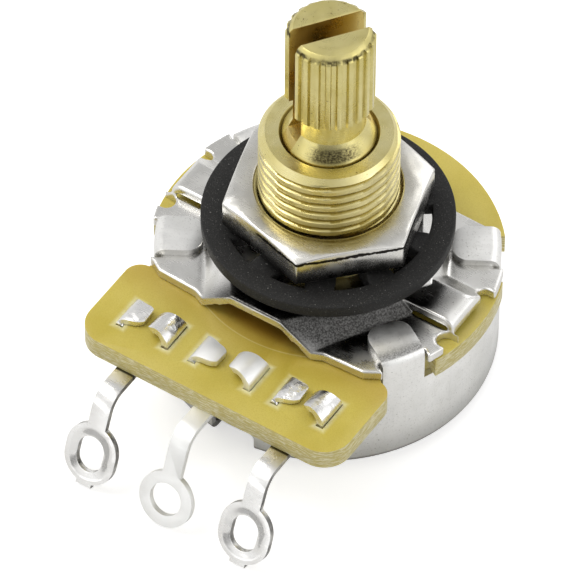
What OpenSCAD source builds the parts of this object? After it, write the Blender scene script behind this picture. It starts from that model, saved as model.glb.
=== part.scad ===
// Rotary potentiometer, panel mounted, with a threaded brass bushing and a split splined shaft.
// Z runs along the shaft. The back of the case stands on z = 0 and the solder terminals point to -Y.
// The thread is left plain at its major diameter.

/* [Case] */
// Outer diameter of the case
case_d = 23.5; // [23.2:0.1:24.5]
// Distance from the back of the case to the face that meets the panel
case_depth = 11.2; // [10.9:0.1:14]
// Sheet thickness of the case
case_sheet = 0.5; // [0.4:0.05:0.6]
// Outside radius where the wall of the case turns into its back
case_corner_r = 0.9; // [0.7:0.1:1.4]
// Width of each fastening tab
tab_w = 3.1; // [2.5:0.1:3.4]
// Direction of each tab, measured from the X axis
tab_angle = 31; // [29:1:33]
// Gap between the end of a folded tab and the foot of the plate's slope
tab_end_gap = 0.25; // [0.2:0.05:0.7]
// Width of the stop tongue that is folded up out of the back
stop_w = 2.8; // [2.2:0.1:3.2]
// Height of the notch that the stop tongue leaves in the wall
notch_h = 1.9; // [1.5:0.1:2.4]

/* [Wafer] */
// Thickness of the wafer
wafer_t = 1.6; // [1.4:0.1:1.8]
// How far the wafer's disc stands out past the case
wafer_overhang = 0.35; // [0.25:0.05:0.5]
// Width of the tongue that carries the terminals
tongue_w = 20.8; // [20.4:0.1:22]
// Distance from the shaft's axis to the front edge of the tongue
tongue_reach = 15.3; // [15:0.1:15.8]
// Corner radius at the front of the tongue
tongue_corner_r = 2; // [1:0.1:3]
// Diameter of the hole round the shaft
wafer_hole_d = 7.4; // [7:0.1:7.8]

/* [Mounting plate] */
// Sheet thickness of the mounting plate
plate_t = 0.8; // [0.6:0.05:0.9]
// Height of the raised middle over the four arms
plate_rise = 1.75; // [1.6:0.05:2.1]
// Room round the bushing's flange to the top of the slope that leads down to an arm
flange_room = 0.3; // [0.2:0.05:0.5]
// Horizontal length of that slope
crown_slope = 1.9; // [1.5:0.1:1.9]
// Distance from the axis to the front edge of the raised middle
plate_front = 8.95; // [8.8:0.05:9.3]
// Distance from the axis to the rear edge of the raised middle
plate_rear = 8.2; // [8:0.05:8.6]
// Height of a side lug over the arms
lug_rise = 1; // [0.95:0.05:1.2]
// How far the outer end of a side lug stays inside the outline of the case
lug_inset = 0.4; // [0.25:0.05:0.55]
// Distance of the lug's sheared edge in front of the axis
lug_shear = 2.1; // [1.9:0.1:2.2]

/* [Bushing] */
// Major diameter of the thread
thread_d = 9.525; // [9:0.025:9.8]
// Depth of the thread
thread_depth = 0.46; // [0.4:0.02:0.5]
// Length of the bushing over the panel face
bushing_l = 9.525; // [8:0.025:12]
// Thickness of the flange staked under the plate
flange_t = 0.8; // [0.6:0.05:0.9]
// Diameter of that flange
flange_d = 12; // [11.4:0.1:12.2]
// Lead chamfer at the end of the thread
lead_chamfer = 0.4; // [0.2:0.05:0.7]

/* [Shaft] */
// Diameter of the shaft in the bushing
shaft_d = 6.35; // [6.1:0.05:6.4]
// Length of the shaft over the panel face
shaft_l = 19.55; // [18.6:0.05:25]
// Diameter over the splines
spline_d = 6; // [5.8:0.05:6.1]
// Number of splines
spline_count = 24; // [18:1:30]
// Depth of the splines
spline_depth = 0.26; // [0.2:0.02:0.32]
// Length of the splined end
spline_l = 6.9; // [5:0.05:7.2]
// Diameter of the neck under the splines
neck_d = 4.9; // [4.6:0.1:5.1]
// Length of the neck
neck_l = 1.85; // [1.6:0.05:2.6]
// Chamfer at the end of the shaft
shaft_chamfer = 0.5; // [0.3:0.05:0.7]
// Width of the split slot
slot_w = 1.5; // [1:0.1:1.8]
// Depth of the split slot
slot_l = 9.3; // [7:0.1:9.4]
// Direction of the split slot at rest, measured from the X axis
slot_angle = 54; // [0:1:180]

/* [Nut and washer] */
// Width of the nut across its flats
nut_af = 12.7; // [12:0.1:13]
// Thickness of the nut
nut_t = 2.4; // [1.8:0.1:2.8]
// Outer diameter of the lock washer
washer_d = 17.2; // [16.5:0.1:17.6]
// Thickness of the lock washer
washer_t = 1; // [0.8:0.05:1.1]
// Number of teeth inside the lock washer
tooth_count = 10; // [8:1:10]
// Width of a tooth
tooth_w = 1.9; // [1.6:0.1:2]
// Twist of a tooth's tip out of the washer's plane
tooth_twist = 38; // [30:1:42]

/* [Terminals] */
// Distance between the terminals
terminal_pitch = 6.2; // [6.1:0.05:6.4]
// Sheet thickness of the terminals
terminal_t = 0.45; // [0.35:0.05:0.5]
// Width of the leads
lead_w = 1.4; // [1.2:0.1:1.8]
// Distance from the axis to where the leads bend down
lead_reach = 16.6; // [16.3:0.1:18]
// Slope of the hanging leads below the horizontal
lead_slope = 68; // [62:1:74]
// Outer diameter of the middle eyelet
eyelet_d = 4.1; // [3.8:0.1:4.4]
// Hole of the middle eyelet
eyelet_hole_d = 2.4; // [2:0.1:2.6]
// Width of the oval outer eyelets
oval_w = 3.9; // [3.6:0.1:4.2]
// Hole width of the oval outer eyelets
oval_hole_w = 2; // [1.8:0.1:2.3]
// Distance between the two centres of an oval eyelet
oval_stretch = 0.7; // [0.4:0.1:0.8]

/* [Rotor] */
// Full turn of the shaft
travel_deg = 300; // [280:5:300]
// Thickness of the steel stop plate
stop_plate_t = 0.8; // [0.6:0.1:1]
// Thickness of the insulating rotor disc
rotor_t = 2; // [1.8:0.1:2.2]
// Diameter of the rotor disc
rotor_d = 18.4; // [18:0.1:18.6]
// Middle radius of the resistive track
track_r = 8.4; // [8.3:0.1:8.5]
// Width of the resistive track
track_w = 2.2; // [1.8:0.1:2.4]
// Middle radius of the collector ring
collector_r = 5.4; // [5.3:0.1:5.5]
// Width of the collector ring
collector_w = 1.8; // [1.4:0.1:2]
// Sheet thickness of the contact spring
spring_t = 0.2; // [0.15:0.05:0.25]

/* [Hidden] */

round_fn = 96;
far = 40;
eps = 0.01;

// Clearances
shaft_fit = 0.025;       // radial, shaft in bushing
thread_fit = 0.01;       // radial, nut over thread
stake_fit = 0.01;        // radial, bushing in plate
key_fit = 0.02;          // shaft in the parts it drives
turn_gap = 0.03;         // between faces that turn on each other
contact_gap = 0.04;      // spring tips under what they touch
film_t = 0.05;           // printed track and pads
plate_slot_gap = 0.15;   // tab in the plate's slot
notch_inner_gap = 0.3;   // tab in the wafer's notch, towards the tongue or the rear
notch_outer_gap = 0.7;   // tab in the wafer's notch, towards the X axis
claw_gap = 0.12;         // claw in its slot in the wafer
ground_gap = 0.15;       // lowest point of the eyelets over the back of the case

// Levels along the shaft
face_z = case_depth;
arm_z = face_z - plate_rise;
wafer_top = arm_z - plate_t;
wafer_under = wafer_top - wafer_t;
film_under = wafer_under - film_t;
crown_under = face_z - plate_t;
flange_under = crown_under - flange_t;
bushing_top = face_z + bushing_l;
shaft_top = face_z + shaft_l;
washer_set = tooth_w * sin(tooth_twist) + washer_t * cos(tooth_twist);
washer_mid = face_z + washer_set / 2;
nut_z = face_z + washer_set;
nut_top = nut_z + nut_t;

// Case
case_r = case_d / 2;
case_in = case_r - case_sheet;
tab_top = arm_z + case_sheet;
tab_bend_r = case_sheet + 0.2;
tab_corner_r = 1.1;
crown_reach = flange_d / 2 + flange_room;
tab_tip = crown_reach + crown_slope + tab_end_gap;
tab_reach = case_r - tab_tip;
stop_bend_r = case_sheet + 0.15;
stop_face = case_in - 1.05;
stop_side_gap = 0.3;
notch_w = stop_w + 2 * stop_side_gap;
notch_corner_r = 0.5;

// Wafer
wafer_r = case_r + wafer_overhang;
shoulder_y = wafer_r * sin(tab_angle) + (tab_w / 2 + notch_inner_gap) * cos(tab_angle);
shoulder_r = 1.2;
claw_w = 2.4;
claw_y = tongue_reach - 3.2;
claw_spans = [4.2, 5, 4.2];
claw_slot_w = terminal_t + claw_gap;

// Mounting plate
plate_r = wafer_r - 0.05;
arm_front = plate_front - 0.65;
arm_rear = plate_rear - 1;
arm_x = case_r - 3.55;
lug_reach = case_r - lug_inset;
side_notch_r = 0.65;
side_notch_x = lug_reach - 0.1;
side_notch_y = lug_shear + side_notch_r + 0.05;
rear_notch_r = 0.5;
rear_notch_y = 2;
lug_z = arm_z + lug_rise;
lug_flat_y = 0.5;
lug_foot_y = 2;
lug_roll_r = 0.8;

// Bushing and nut
thread_r = thread_d / 2;
bore_chamfer = 0.15;
core_r = thread_r - thread_depth;    // as far as the nut's thread fills the bushing's own
core_top = nut_top + 0.1;
nut_corner_r = nut_af / 2 / cos(30);
nut_corner_angle = -14;
nut_bevel = 0.4;
nut_countersink = 0.28;

// Lock washer
tooth_root_r = washer_d / 2 - 1.6;
tooth_tip_r = thread_r + 0.3;
tooth_first_angle = 10;
tooth_hold = 0.25;

// Terminals
lead_bend_r = 1.6;
lead_z = film_under - terminal_t / 2;
claw_bend_r = 0.3;
claw_lift = 0.15;
claw_tip_gap = 0.7;
collector_z = wafer_under - terminal_t / 2;
nub_w = 1.2;
nub_l = 0.2;

// Shaft and rotor
shaft_r = shaft_d / 2;
spline_r = spline_d / 2;
neck_r = neck_d / 2;
neck_z = shaft_top - spline_l - neck_l;
cone_l = 1.3;
stop_plate_z = case_sheet + 1.8;
rotor_z = stop_plate_z + stop_plate_t;
spring_z = rotor_z + rotor_t;
flats = shaft_d - 1.6;
flats_top = spring_z + spring_t + 0.3;
rivet_r = shaft_r + 0.25;
rivet_l = 0.7;
ring_t = 0.5;
ring_groove_r = shaft_r - 0.55;
ring_r = shaft_r + 1.05;
ring_gap_angle = 50;
thrust_t = 0.15;
thrust_r = shaft_r + 1.3;
thrust_z = flange_under - turn_gap - thrust_t;
ring_z = thrust_z - turn_gap - ring_t;
stop_arm_r = case_in - 0.35;
stop_hub_r = 6;
stop_top = rotor_z + 0.5;
stop_half = atan(stop_w / 2 / (stop_face - case_sheet));
arm_half = 180 - travel_deg / 2 - stop_half - 0.7;
track_in = track_r - track_w / 2;
track_out = track_r + track_w / 2;
track_open = 35;
pad_turn = 14;
strip_w = 2;
finger_w = 0.9;
finger_tip_l = 0.8;
spring_left = 2.3;
spring_right = 4.9;

brass = "#c9b25c";
nickel = "#c9c9c6";
black_oxide = "#2f2d2b";
tinned = "#dcdcda";
film = "#b9b9b4";

function polar(r, a) = [r * cos(a), r * sin(a)];
function terminal_x(i) = (i - 1) * terminal_pitch;
function head_z(i) = i == 1 ? collector_z : lead_z;

// Sheet bent round a corner, in section: inside radius, thickness, from angle a0 to a1
module bend(r_in, t, a0, a1) {
    reach = 2 * (r_in + t);
    intersection() {
        ring(r_in, r_in + t);
        polygon([[0, 0], polar(reach, a0), polar(reach, (a0 + a1) / 2), polar(reach, a1)]);
    }
}

module ring(r_in, r_out) difference() {
    circle(r = r_out, $fn = round_fn);
    circle(r = r_in, $fn = round_fn);
}

// Rectangle from corner a to corner b with rounded corners
module rounded_box(a, b, r) {
    translate([a[0] + r, a[1]]) square([b[0] - a[0] - 2 * r, b[1] - a[1]]);
    translate([a[0], a[1] + r]) square([b[0] - a[0], b[1] - a[1] - 2 * r]);
    for (x = [a[0] + r, b[0] - r], y = [a[1] + r, b[1] - r])
        translate([x, y]) circle(r = r, $fn = round_fn);
}

// Wedge in plan from angle a0 to a1, reaching past radius r
module wedge(r, a0, a1) {
    steps = ceil((a1 - a0) / 30);
    polygon(concat([[0, 0]], [for (i = [0:steps]) polar(1.3 * r, a0 + (a1 - a0) * i / steps)]));
}

// Section drawn in X and Z, or in Y and Z, widened to both sides
module along_y(w) rotate([90, 0, 0]) linear_extrude(w, center = true) children();
module along_x(w) rotate([90, 0, 90]) linear_extrude(w, center = true) children();

// Case

// Strip in plan that a tab may fill, with a rounded inner end
module tab_plan() {
    side = tab_w / 2 - tab_corner_r;
    translate([tab_tip + tab_corner_r, -tab_w / 2]) square([tab_reach, tab_w]);
    translate([tab_tip, -side]) square([tab_reach, 2 * side]);
    for (y = [-side, side]) translate([tab_tip + tab_corner_r, y]) circle(r = tab_corner_r, $fn = round_fn);
}

// Half section of the case where it has a tab: back, wall, bend and the part folded in over an arm
module case_section() {
    square([case_r - case_corner_r, case_sheet]);
    translate([case_r - case_corner_r, case_corner_r]) bend(case_corner_r - case_sheet, case_sheet, 270, 360);
    translate([case_in, case_corner_r]) square([case_sheet, tab_top - tab_bend_r - case_corner_r]);
    translate([case_r - tab_bend_r, tab_top - tab_bend_r])
        bend(tab_bend_r - case_sheet, case_sheet, 0, 90);
    translate([tab_tip - 1, tab_top - case_sheet]) square([tab_reach + 1 - tab_bend_r, case_sheet]);
}

// The four places of the tabs, each with its -Y side away from the X axis
module at_tabs() for (x = [0, 1], y = [0, 1])
    mirror([x, 0, 0]) mirror([0, y, 0]) rotate(-tab_angle) children();

// Notch in the foot of the wall, seen from the front
module notch_shape() {
    translate([-notch_w / 2, -1]) square([notch_w, notch_h + 1 - notch_corner_r]);
    translate([notch_corner_r - notch_w / 2, 0]) square([notch_w - 2 * notch_corner_r, notch_h]);
    for (s = [-1, 1]) translate([s * (notch_w / 2 - notch_corner_r), notch_h - notch_corner_r])
        circle(r = notch_corner_r, $fn = round_fn);
}

module stop_tongue() along_x(stop_w) {
    translate([stop_bend_r - stop_face, stop_bend_r]) bend(stop_bend_r - case_sheet, case_sheet, 180, 270);
    translate([-stop_face, stop_bend_r]) square([case_sheet, stop_top - stop_bend_r]);
    translate([stop_bend_r - stop_face - eps, 0]) square([0.4, case_sheet]);
}

module case() color(nickel) {
    notch_depth = case_r + 1 - stop_face + stop_bend_r;
    relief_w = 2 * terminal_pitch + claw_spans[0] + 0.6;
    relief_h = film_t + terminal_t + 0.3;
    difference() {
        intersection() {
            rotate_extrude($fn = round_fn) case_section();
            union() {
                translate([-far, -far, -1]) cube([2 * far, 2 * far, wafer_under + 1]);
                linear_extrude(far) at_tabs() tab_plan();
            }
        }
        translate([0, notch_depth / 2 - case_r - 1, 0]) along_y(notch_depth) notch_shape();
        translate([-relief_w / 2, -far, wafer_under - relief_h]) cube([relief_w, far, relief_h + 1]);
    }
    stop_tongue();
}

// Mounting plate

// Everything below its upper face: a flat middle, slopes down to the arms, and the two side lugs
module plate_body() {
    intersection_for (a = [tab_angle, 180 - tab_angle, 180 + tab_angle, -tab_angle])
        rotate(a) along_y(2 * far) polygon([
            [-far, -1], [-far, face_z], [crown_reach, face_z], [crown_reach + crown_slope, arm_z],
            [far, arm_z], [far, -1]]);
    for (s = [0, 1]) mirror([s, 0, 0]) intersection() {
        translate([far / 2, 0, 0]) along_x(far) polygon([
            [-lug_shear, -1], [-lug_shear, lug_z], [lug_flat_y, lug_z], [lug_foot_y, arm_z - eps],
            [lug_foot_y, -1]]);
        along_y(far) {
            translate([0, -1]) square([lug_reach - lug_roll_r, lug_z + 1]);
            translate([0, -1]) square([lug_reach, lug_z + 1 - lug_roll_r]);
            translate([lug_reach - lug_roll_r, lug_z - lug_roll_r]) circle(r = lug_roll_r, $fn = round_fn);
        }
    }
}

// Right half of the outline in plan, without its cut-outs
module plate_half() polygon([
    [-eps, -plate_front], [2.2, -plate_front], [4.4, 0.15 - plate_front], [5.2, -0.15 - arm_front],
    [arm_x, -arm_front], [arm_x + 0.9, 0.55 - arm_front], [far, -2], [far, 2], [arm_x + 2, arm_rear - 0.35],
    [arm_x + 1, arm_rear], [5.2, arm_rear + 0.1], [4.4, plate_rear], [-eps, plate_rear]]);

// Space round the outer end of a lug
module lug_cuts() {
    translate([lug_reach, -lug_shear]) square([far, lug_shear + rear_notch_y]);
    translate([side_notch_x, -side_notch_y]) circle(r = side_notch_r, $fn = round_fn);
    translate([side_notch_x, -side_notch_y - side_notch_r]) square([far, 2 * side_notch_r]);
    translate([side_notch_x, rear_notch_y]) circle(r = rear_notch_r, $fn = round_fn);
    translate([side_notch_x, rear_notch_y]) square([far, rear_notch_r]);
}

module plate_plan() difference() {
    intersection() {
        circle(r = plate_r, $fn = round_fn);
        union() for (s = [0, 1]) mirror([s, 0]) plate_half();
    }
    at_tabs() translate([case_in - plate_slot_gap, -tab_w / 2 - plate_slot_gap])
        square([far, tab_w + 2 * plate_slot_gap]);
    for (s = [0, 1]) mirror([s, 0]) lug_cuts();
}

module mounting_plate() color(nickel) difference() {
    intersection() {
        plate_body();
        linear_extrude(face_z + 1) plate_plan();
    }
    translate([0, 0, -plate_t]) plate_body();
    cylinder(r = core_r + stake_fit, h = far, $fn = round_fn);
}

// Bushing, nut and lock washer

module bushing() color(brass) difference() {
    rotate_extrude($fn = round_fn) polygon([
        [0, flange_under], [flange_d / 2 - 0.2, flange_under], [flange_d / 2, flange_under + 0.2],
        [flange_d / 2, crown_under], [core_r, crown_under], [core_r, core_top], [thread_r, core_top],
        [thread_r, bushing_top - lead_chamfer], [thread_r - lead_chamfer, bushing_top], [0, bushing_top]]);
    cylinder(r = shaft_r + shaft_fit, h = far, $fn = round_fn);
    translate([0, 0, bushing_top - bore_chamfer])
        cylinder(r1 = shaft_r + shaft_fit, r2 = shaft_r + shaft_fit + 2 * bore_chamfer, h = 2 * bore_chamfer,
                 $fn = round_fn);
}

module hex_nut() color(nickel) rotate(nut_corner_angle) difference() {
    intersection() {
        translate([0, 0, nut_z]) cylinder(r = nut_corner_r, h = nut_t, $fn = 6);
        rotate_extrude($fn = round_fn) polygon([
            [0, nut_z], [nut_corner_r + 0.1, nut_z], [nut_corner_r + 0.1, nut_top - nut_bevel],
            [nut_af / 2 - 0.1, nut_top], [0, nut_top]]);
    }
    cylinder(r = core_r + thread_fit, h = far, $fn = round_fn);
    translate([0, 0, nut_top - nut_countersink])
        cylinder(r1 = thread_r, r2 = thread_r + 2 * nut_countersink, h = 2 * nut_countersink, $fn = round_fn);
}

// One tooth, twisted between the ring and its tip
module washer_tooth() translate([tooth_root_r + tooth_hold, 0, washer_mid]) rotate([0, -90, 0]) rotate(90)
    linear_extrude(tooth_root_r + tooth_hold - tooth_tip_r, twist = tooth_twist, slices = 8)
        square([tooth_w, washer_t], center = true);

module lock_washer() color(black_oxide) {
    translate([0, 0, washer_mid - washer_t / 2]) linear_extrude(washer_t) ring(tooth_root_r, washer_d / 2);
    for (i = [0:tooth_count - 1]) rotate(tooth_first_angle + i * 360 / tooth_count) washer_tooth();
}

// Wafer, printed track and its ends

module wafer_plan() difference() {
    union() {
        circle(r = wafer_r, $fn = round_fn);
        rounded_box([-tongue_w / 2, -tongue_reach], [tongue_w / 2, 0.5 + 2 * tongue_corner_r - tongue_reach],
                    tongue_corner_r);
        translate([-tongue_w / 2, tongue_corner_r - tongue_reach])
            square([tongue_w, tongue_reach - tongue_corner_r - shoulder_y - shoulder_r]);
        rounded_box([-tongue_w / 2, -shoulder_y - 3 * shoulder_r], [tongue_w / 2, -shoulder_y], shoulder_r);
    }
    circle(d = wafer_hole_d, $fn = round_fn);
    at_tabs() translate([case_in - plate_slot_gap, -tab_w / 2 - notch_inner_gap])
        square([case_sheet + wafer_overhang + plate_slot_gap + 0.1,
                tab_w + notch_inner_gap + notch_outer_gap]);
    for (i = [0:2], s = [-1, 1])
        translate([terminal_x(i) + s * (claw_spans[i] - claw_slot_w) / 2, -claw_y])
            square([claw_slot_w, claw_w + claw_gap], center = true);
}

module wafer() color("#cdbf55") translate([0, 0, wafer_under]) linear_extrude(wafer_t) wafer_plan();

module resistive_track() color("#26221f") translate([0, 0, film_under]) linear_extrude(film_t)
    difference() {
        ring(track_in, track_out);
        wedge(track_out, -90 - track_open, track_open - 90);
    }

// Print from the end of the track to the claws of an outer terminal, on the right for s = 0
module end_pad(s) color(film) mirror([s, 0, 0]) translate([0, 0, film_under]) linear_extrude(film_t) {
    half = claw_spans[0] / 2 - claw_slot_w - 0.05;
    difference() {
        polygon([
            polar(track_in, track_open - 90), polar(track_out, track_open - 90),
            [terminal_pitch + half, claw_w / 2 - claw_y], [terminal_pitch + half, -claw_w / 2 - claw_y],
            [terminal_pitch - half, -claw_w / 2 - claw_y], [terminal_pitch - half, claw_w / 2 - claw_y],
            polar(track_out, track_open - pad_turn - 90), polar(track_in, track_open - pad_turn - 90)]);
        circle(r = track_in, $fn = round_fn);
    }
}

module end_pad_left() end_pad(1);
module end_pad_right() end_pad(0);

// Terminals

// Claw on the right of terminal i: up through the wafer, over and inwards to a narrower tip
module claw(i) {
    x = claw_spans[i] / 2 - claw_gap / 2;
    bend_x = x - claw_bend_r - terminal_t;
    bend_z = wafer_top + claw_lift;
    tip = claw_tip_gap / 2;
    intersection() {
        along_y(claw_w) {
            translate([x - terminal_t, head_z(i)]) square([terminal_t, bend_z - head_z(i)]);
            translate([bend_x, bend_z]) bend(claw_bend_r, terminal_t, 0, 90);
            translate([tip, bend_z + claw_bend_r]) square([bend_x - tip, terminal_t]);
        }
        translate([0, 0, 1]) linear_extrude(far) polygon([
            [x + 1, -claw_w], [x + 1, claw_w], [bend_x, claw_w / 2], [tip - eps, claw_w * 0.3],
            [tip - eps, -claw_w * 0.3], [bend_x, -claw_w / 2]]);
    }
}

// Plate under the wafer with both claws of terminal i
module terminal_head(i) {
    w = claw_spans[i] - claw_gap;
    translate([-w / 2, -claw_y - claw_w / 2, head_z(i) - terminal_t / 2]) cube([w, claw_w, terminal_t]);
    for (s = [0, 1]) mirror([s, 0, 0]) translate([0, -claw_y, 0]) claw(i);
}

// Lead from under the wafer at level z, round its bend and down to an eyelet, the child, which reaches
// below its own middle by drop. The strip itself ends before that middle by stop
module lead(z, drop, stop) {
    end_z = ground_gap + drop * sin(lead_slope) + terminal_t / 2 * cos(lead_slope);
    bend_end_z = z - lead_bend_r * (1 - cos(lead_slope));
    len = (bend_end_z - end_z) / sin(lead_slope);
    along_x(lead_w) {
        translate([-lead_reach - eps, z - terminal_t / 2]) square([lead_reach + eps - claw_y, terminal_t]);
        translate([-lead_reach, z - lead_bend_r])
            bend(lead_bend_r - terminal_t / 2, terminal_t, 90, 90 + lead_slope);
        translate([-lead_reach, z - lead_bend_r]) rotate(lead_slope)
            translate([stop - len, lead_bend_r - terminal_t / 2]) square([len - stop, terminal_t]);
    }
    translate([0, -lead_reach - lead_bend_r * sin(lead_slope) - len * cos(lead_slope), end_z])
        rotate([lead_slope, 0, 0]) children();
}

module round_eyelet() translate([0, 0, -terminal_t / 2]) linear_extrude(terminal_t)
    ring(eyelet_hole_d / 2, eyelet_d / 2);

module stadium(r, apart) {
    for (y = [-apart / 2, apart / 2]) translate([0, y]) circle(r = r, $fn = round_fn);
    square([2 * r, apart], center = true);
}

// Oval eyelet with the stub where it was cut from its strip
module oval_eyelet() translate([0, 0, -terminal_t / 2]) linear_extrude(terminal_t) difference() {
    union() {
        stadium(oval_w / 2, oval_stretch);
        translate([-nub_w / 2, -oval_stretch / 2 - oval_w / 2 - nub_l]) square([nub_w, oval_w / 2]);
    }
    stadium(oval_hole_w / 2, oval_stretch);
}

module outer_terminal(i) color(tinned) translate([terminal_x(i), 0, 0]) {
    half_l = (oval_w + oval_stretch) / 2;
    terminal_head(i);
    lead(head_z(i), half_l + nub_l, half_l - (oval_w - oval_hole_w) / 4) oval_eyelet();
}

module terminal_left() outer_terminal(0);
module terminal_right() outer_terminal(2);

// The middle terminal is one piece with the collector ring round the shaft
module terminal_middle() color(tinned) {
    terminal_head(1);
    lead(head_z(1), eyelet_d / 2, (eyelet_d + eyelet_hole_d) / 4) round_eyelet();
    translate([0, 0, collector_z - terminal_t / 2]) linear_extrude(terminal_t) {
        ring(collector_r - collector_w / 2, collector_r + collector_w / 2);
        translate([-strip_w / 2, -claw_y]) square([strip_w, claw_y - collector_r]);
    }
}

// Shaft and what turns with it

// Section through the splines: flat crests and roots, sloped flanks
module spline_section() {
    step = 360 / spline_count;
    polygon([for (i = [0:spline_count - 1], p = [[-0.29, 1], [-0.19, 0], [0.19, 0], [0.29, 1]])
        polar(spline_r - spline_depth * p[1], (i + p[0]) * step)]);
}

module rivet_head() rotate_extrude($fn = round_fn) polygon([
    [0, stop_plate_z - rivet_l], [rivet_r - 0.3, stop_plate_z - rivet_l],
    [rivet_r, stop_plate_z - rivet_l + 0.3], [rivet_r, stop_plate_z], [0, stop_plate_z]]);

module flatted_end() intersection() {
    translate([0, 0, stop_plate_z - eps])
        cylinder(r = shaft_r, h = flats_top - stop_plate_z + 2 * eps, $fn = round_fn);
    translate([-far / 2, -flats / 2, 0]) cube([far, flats, far]);
}

module shaft_body() rotate_extrude($fn = round_fn) polygon([
    [0, flats_top], [shaft_r, flats_top], [shaft_r, ring_z - turn_gap], [ring_groove_r, ring_z - turn_gap],
    [ring_groove_r, ring_z + ring_t + turn_gap], [shaft_r, ring_z + ring_t + turn_gap],
    [shaft_r, neck_z - cone_l], [neck_r, neck_z], [neck_r, shaft_top - spline_l + eps],
    [0, shaft_top - spline_l + eps]]);

module splined_end() intersection() {
    translate([0, 0, shaft_top - spline_l]) linear_extrude(spline_l) spline_section();
    rotate_extrude($fn = round_fn) polygon([
        [0, shaft_top - spline_l - 1], [spline_r - 0.2, shaft_top - spline_l - 1],
        [spline_r - 0.2, shaft_top - spline_l], [spline_r + 0.1, shaft_top - spline_l + 0.3],
        [spline_r + 0.1, shaft_top - shaft_chamfer - 0.1], [spline_r - shaft_chamfer, shaft_top],
        [0, shaft_top]]);
}

module shaft() color(brass) difference() {
    union() {
        rivet_head();
        flatted_end();
        shaft_body();
        splined_end();
    }
    rotate(slot_angle) translate([-far / 2, -slot_w / 2, shaft_top - slot_l]) cube([far, slot_w, far]);
}

// Hole that fits the flats at the rear of the shaft
module keyhole() intersection() {
    circle(r = shaft_r + key_fit, $fn = round_fn);
    square([far, flats + 2 * key_fit], center = true);
}

module stop_plate() color("#9a9a98") translate([0, 0, stop_plate_z]) linear_extrude(stop_plate_t)
    difference() {
        union() {
            circle(r = stop_hub_r, $fn = round_fn);
            intersection() {
                circle(r = stop_arm_r, $fn = round_fn);
                wedge(stop_arm_r, 90 - arm_half, 90 + arm_half);
            }
        }
        keyhole();
    }

module rotor_disc() color("#6b4a2e") translate([0, 0, rotor_z]) linear_extrude(rotor_t) difference() {
    circle(r = rotor_d / 2, $fn = round_fn);
    keyhole();
}

// Finger that rises from the spring's base at radius r to a flat tip under level z
module finger(r, z) translate([0, r, 0]) along_y(finger_w) {
    tip = finger_tip_l / 2;
    top = z - contact_gap;
    polygon([
        [-tip, top - spring_t], [-tip, top], [tip, top], [spring_left + spring_t, spring_z + spring_t],
        [spring_left + spring_t, spring_z], [spring_left, spring_z], [tip - spring_t / 2, top - spring_t]]);
}

module contact_spring() color("#c6a15a") {
    translate([0, 0, spring_z]) linear_extrude(spring_t) intersection() {
        circle(r = rotor_d / 2 - 0.1, $fn = round_fn);
        translate([spring_left, collector_r - finger_w / 2])
            square([spring_right - spring_left, track_r - collector_r + finger_w]);
    }
    finger(track_r, film_under);
    finger(collector_r, collector_z - terminal_t / 2);
}

module retaining_ring() color("#8f8f8c") translate([0, 0, ring_z]) linear_extrude(ring_t) difference() {
    ring(ring_groove_r + key_fit, ring_r);
    wedge(ring_r, -ring_gap_angle / 2, ring_gap_angle / 2);
}

module thrust_washer() color("#a7a7a3") translate([0, 0, thrust_z]) linear_extrude(thrust_t)
    ring(shaft_r + key_fit, thrust_r);

case();
mounting_plate();
bushing();
hex_nut();
lock_washer();
wafer();
resistive_track();
end_pad_left();
end_pad_right();
terminal_left();
terminal_middle();
terminal_right();
shaft();
thrust_washer();
retaining_ring();
rotor_disc();
contact_spring();
stop_plate();
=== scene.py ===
"""Studio picture of a panel-mount rotary potentiometer.

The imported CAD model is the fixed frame. This script dresses it: softened sheet metal edges, a cut thread
on the bushing, twisted teeth in the lock washer, curled claws and dished eyelets on the terminals, and a
procedural finish on every piece. Sizes are millimetres in the code and metres in the meshes.
"""

import logging
import math
from contextlib import contextmanager
from dataclasses import dataclass
from enum import Enum
from functools import cached_property
from typing import Callable, Iterator, Optional, Sequence

import bmesh
import bpy
from mathutils import Matrix, Vector


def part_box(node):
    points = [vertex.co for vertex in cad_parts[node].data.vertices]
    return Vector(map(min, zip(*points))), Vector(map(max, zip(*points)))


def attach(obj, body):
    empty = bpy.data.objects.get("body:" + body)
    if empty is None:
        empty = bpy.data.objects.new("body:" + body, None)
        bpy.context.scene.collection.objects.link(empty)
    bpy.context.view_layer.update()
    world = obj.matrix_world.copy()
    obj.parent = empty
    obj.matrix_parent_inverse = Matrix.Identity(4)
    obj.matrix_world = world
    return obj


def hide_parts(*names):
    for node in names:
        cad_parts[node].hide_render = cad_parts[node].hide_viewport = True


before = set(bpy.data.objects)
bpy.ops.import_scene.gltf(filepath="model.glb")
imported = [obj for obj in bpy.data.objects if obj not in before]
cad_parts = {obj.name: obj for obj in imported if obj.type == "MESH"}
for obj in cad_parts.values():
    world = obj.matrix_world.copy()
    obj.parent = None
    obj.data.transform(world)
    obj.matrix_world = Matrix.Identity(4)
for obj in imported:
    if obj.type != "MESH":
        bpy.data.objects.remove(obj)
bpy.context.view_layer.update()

MM = 0.001
SHARP_DEG = 24.0
TERMINAL_PITCH = 6.2
CLAW_ROW_Y = -12.1
LOG = logging.getLogger("potentiometer")

Pair = tuple[float, float]
Triple = tuple[float, float, float]
Colour = Triple
Socket = bpy.types.NodeSocket
Thing = bpy.types.Object
Mesh = bmesh.types.BMesh
WHITE: Colour = (1.0, 1.0, 1.0)


class Lay(Enum):
    """How making left fine marks in a surface: the marks' stretch along three coordinates."""

    TURNED = (1.0, 0.0, 1.0)
    ROLLED = (0.12, 1.0, 0.4)
    DRAWN = (0.011, 0.2, 0.08)


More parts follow.
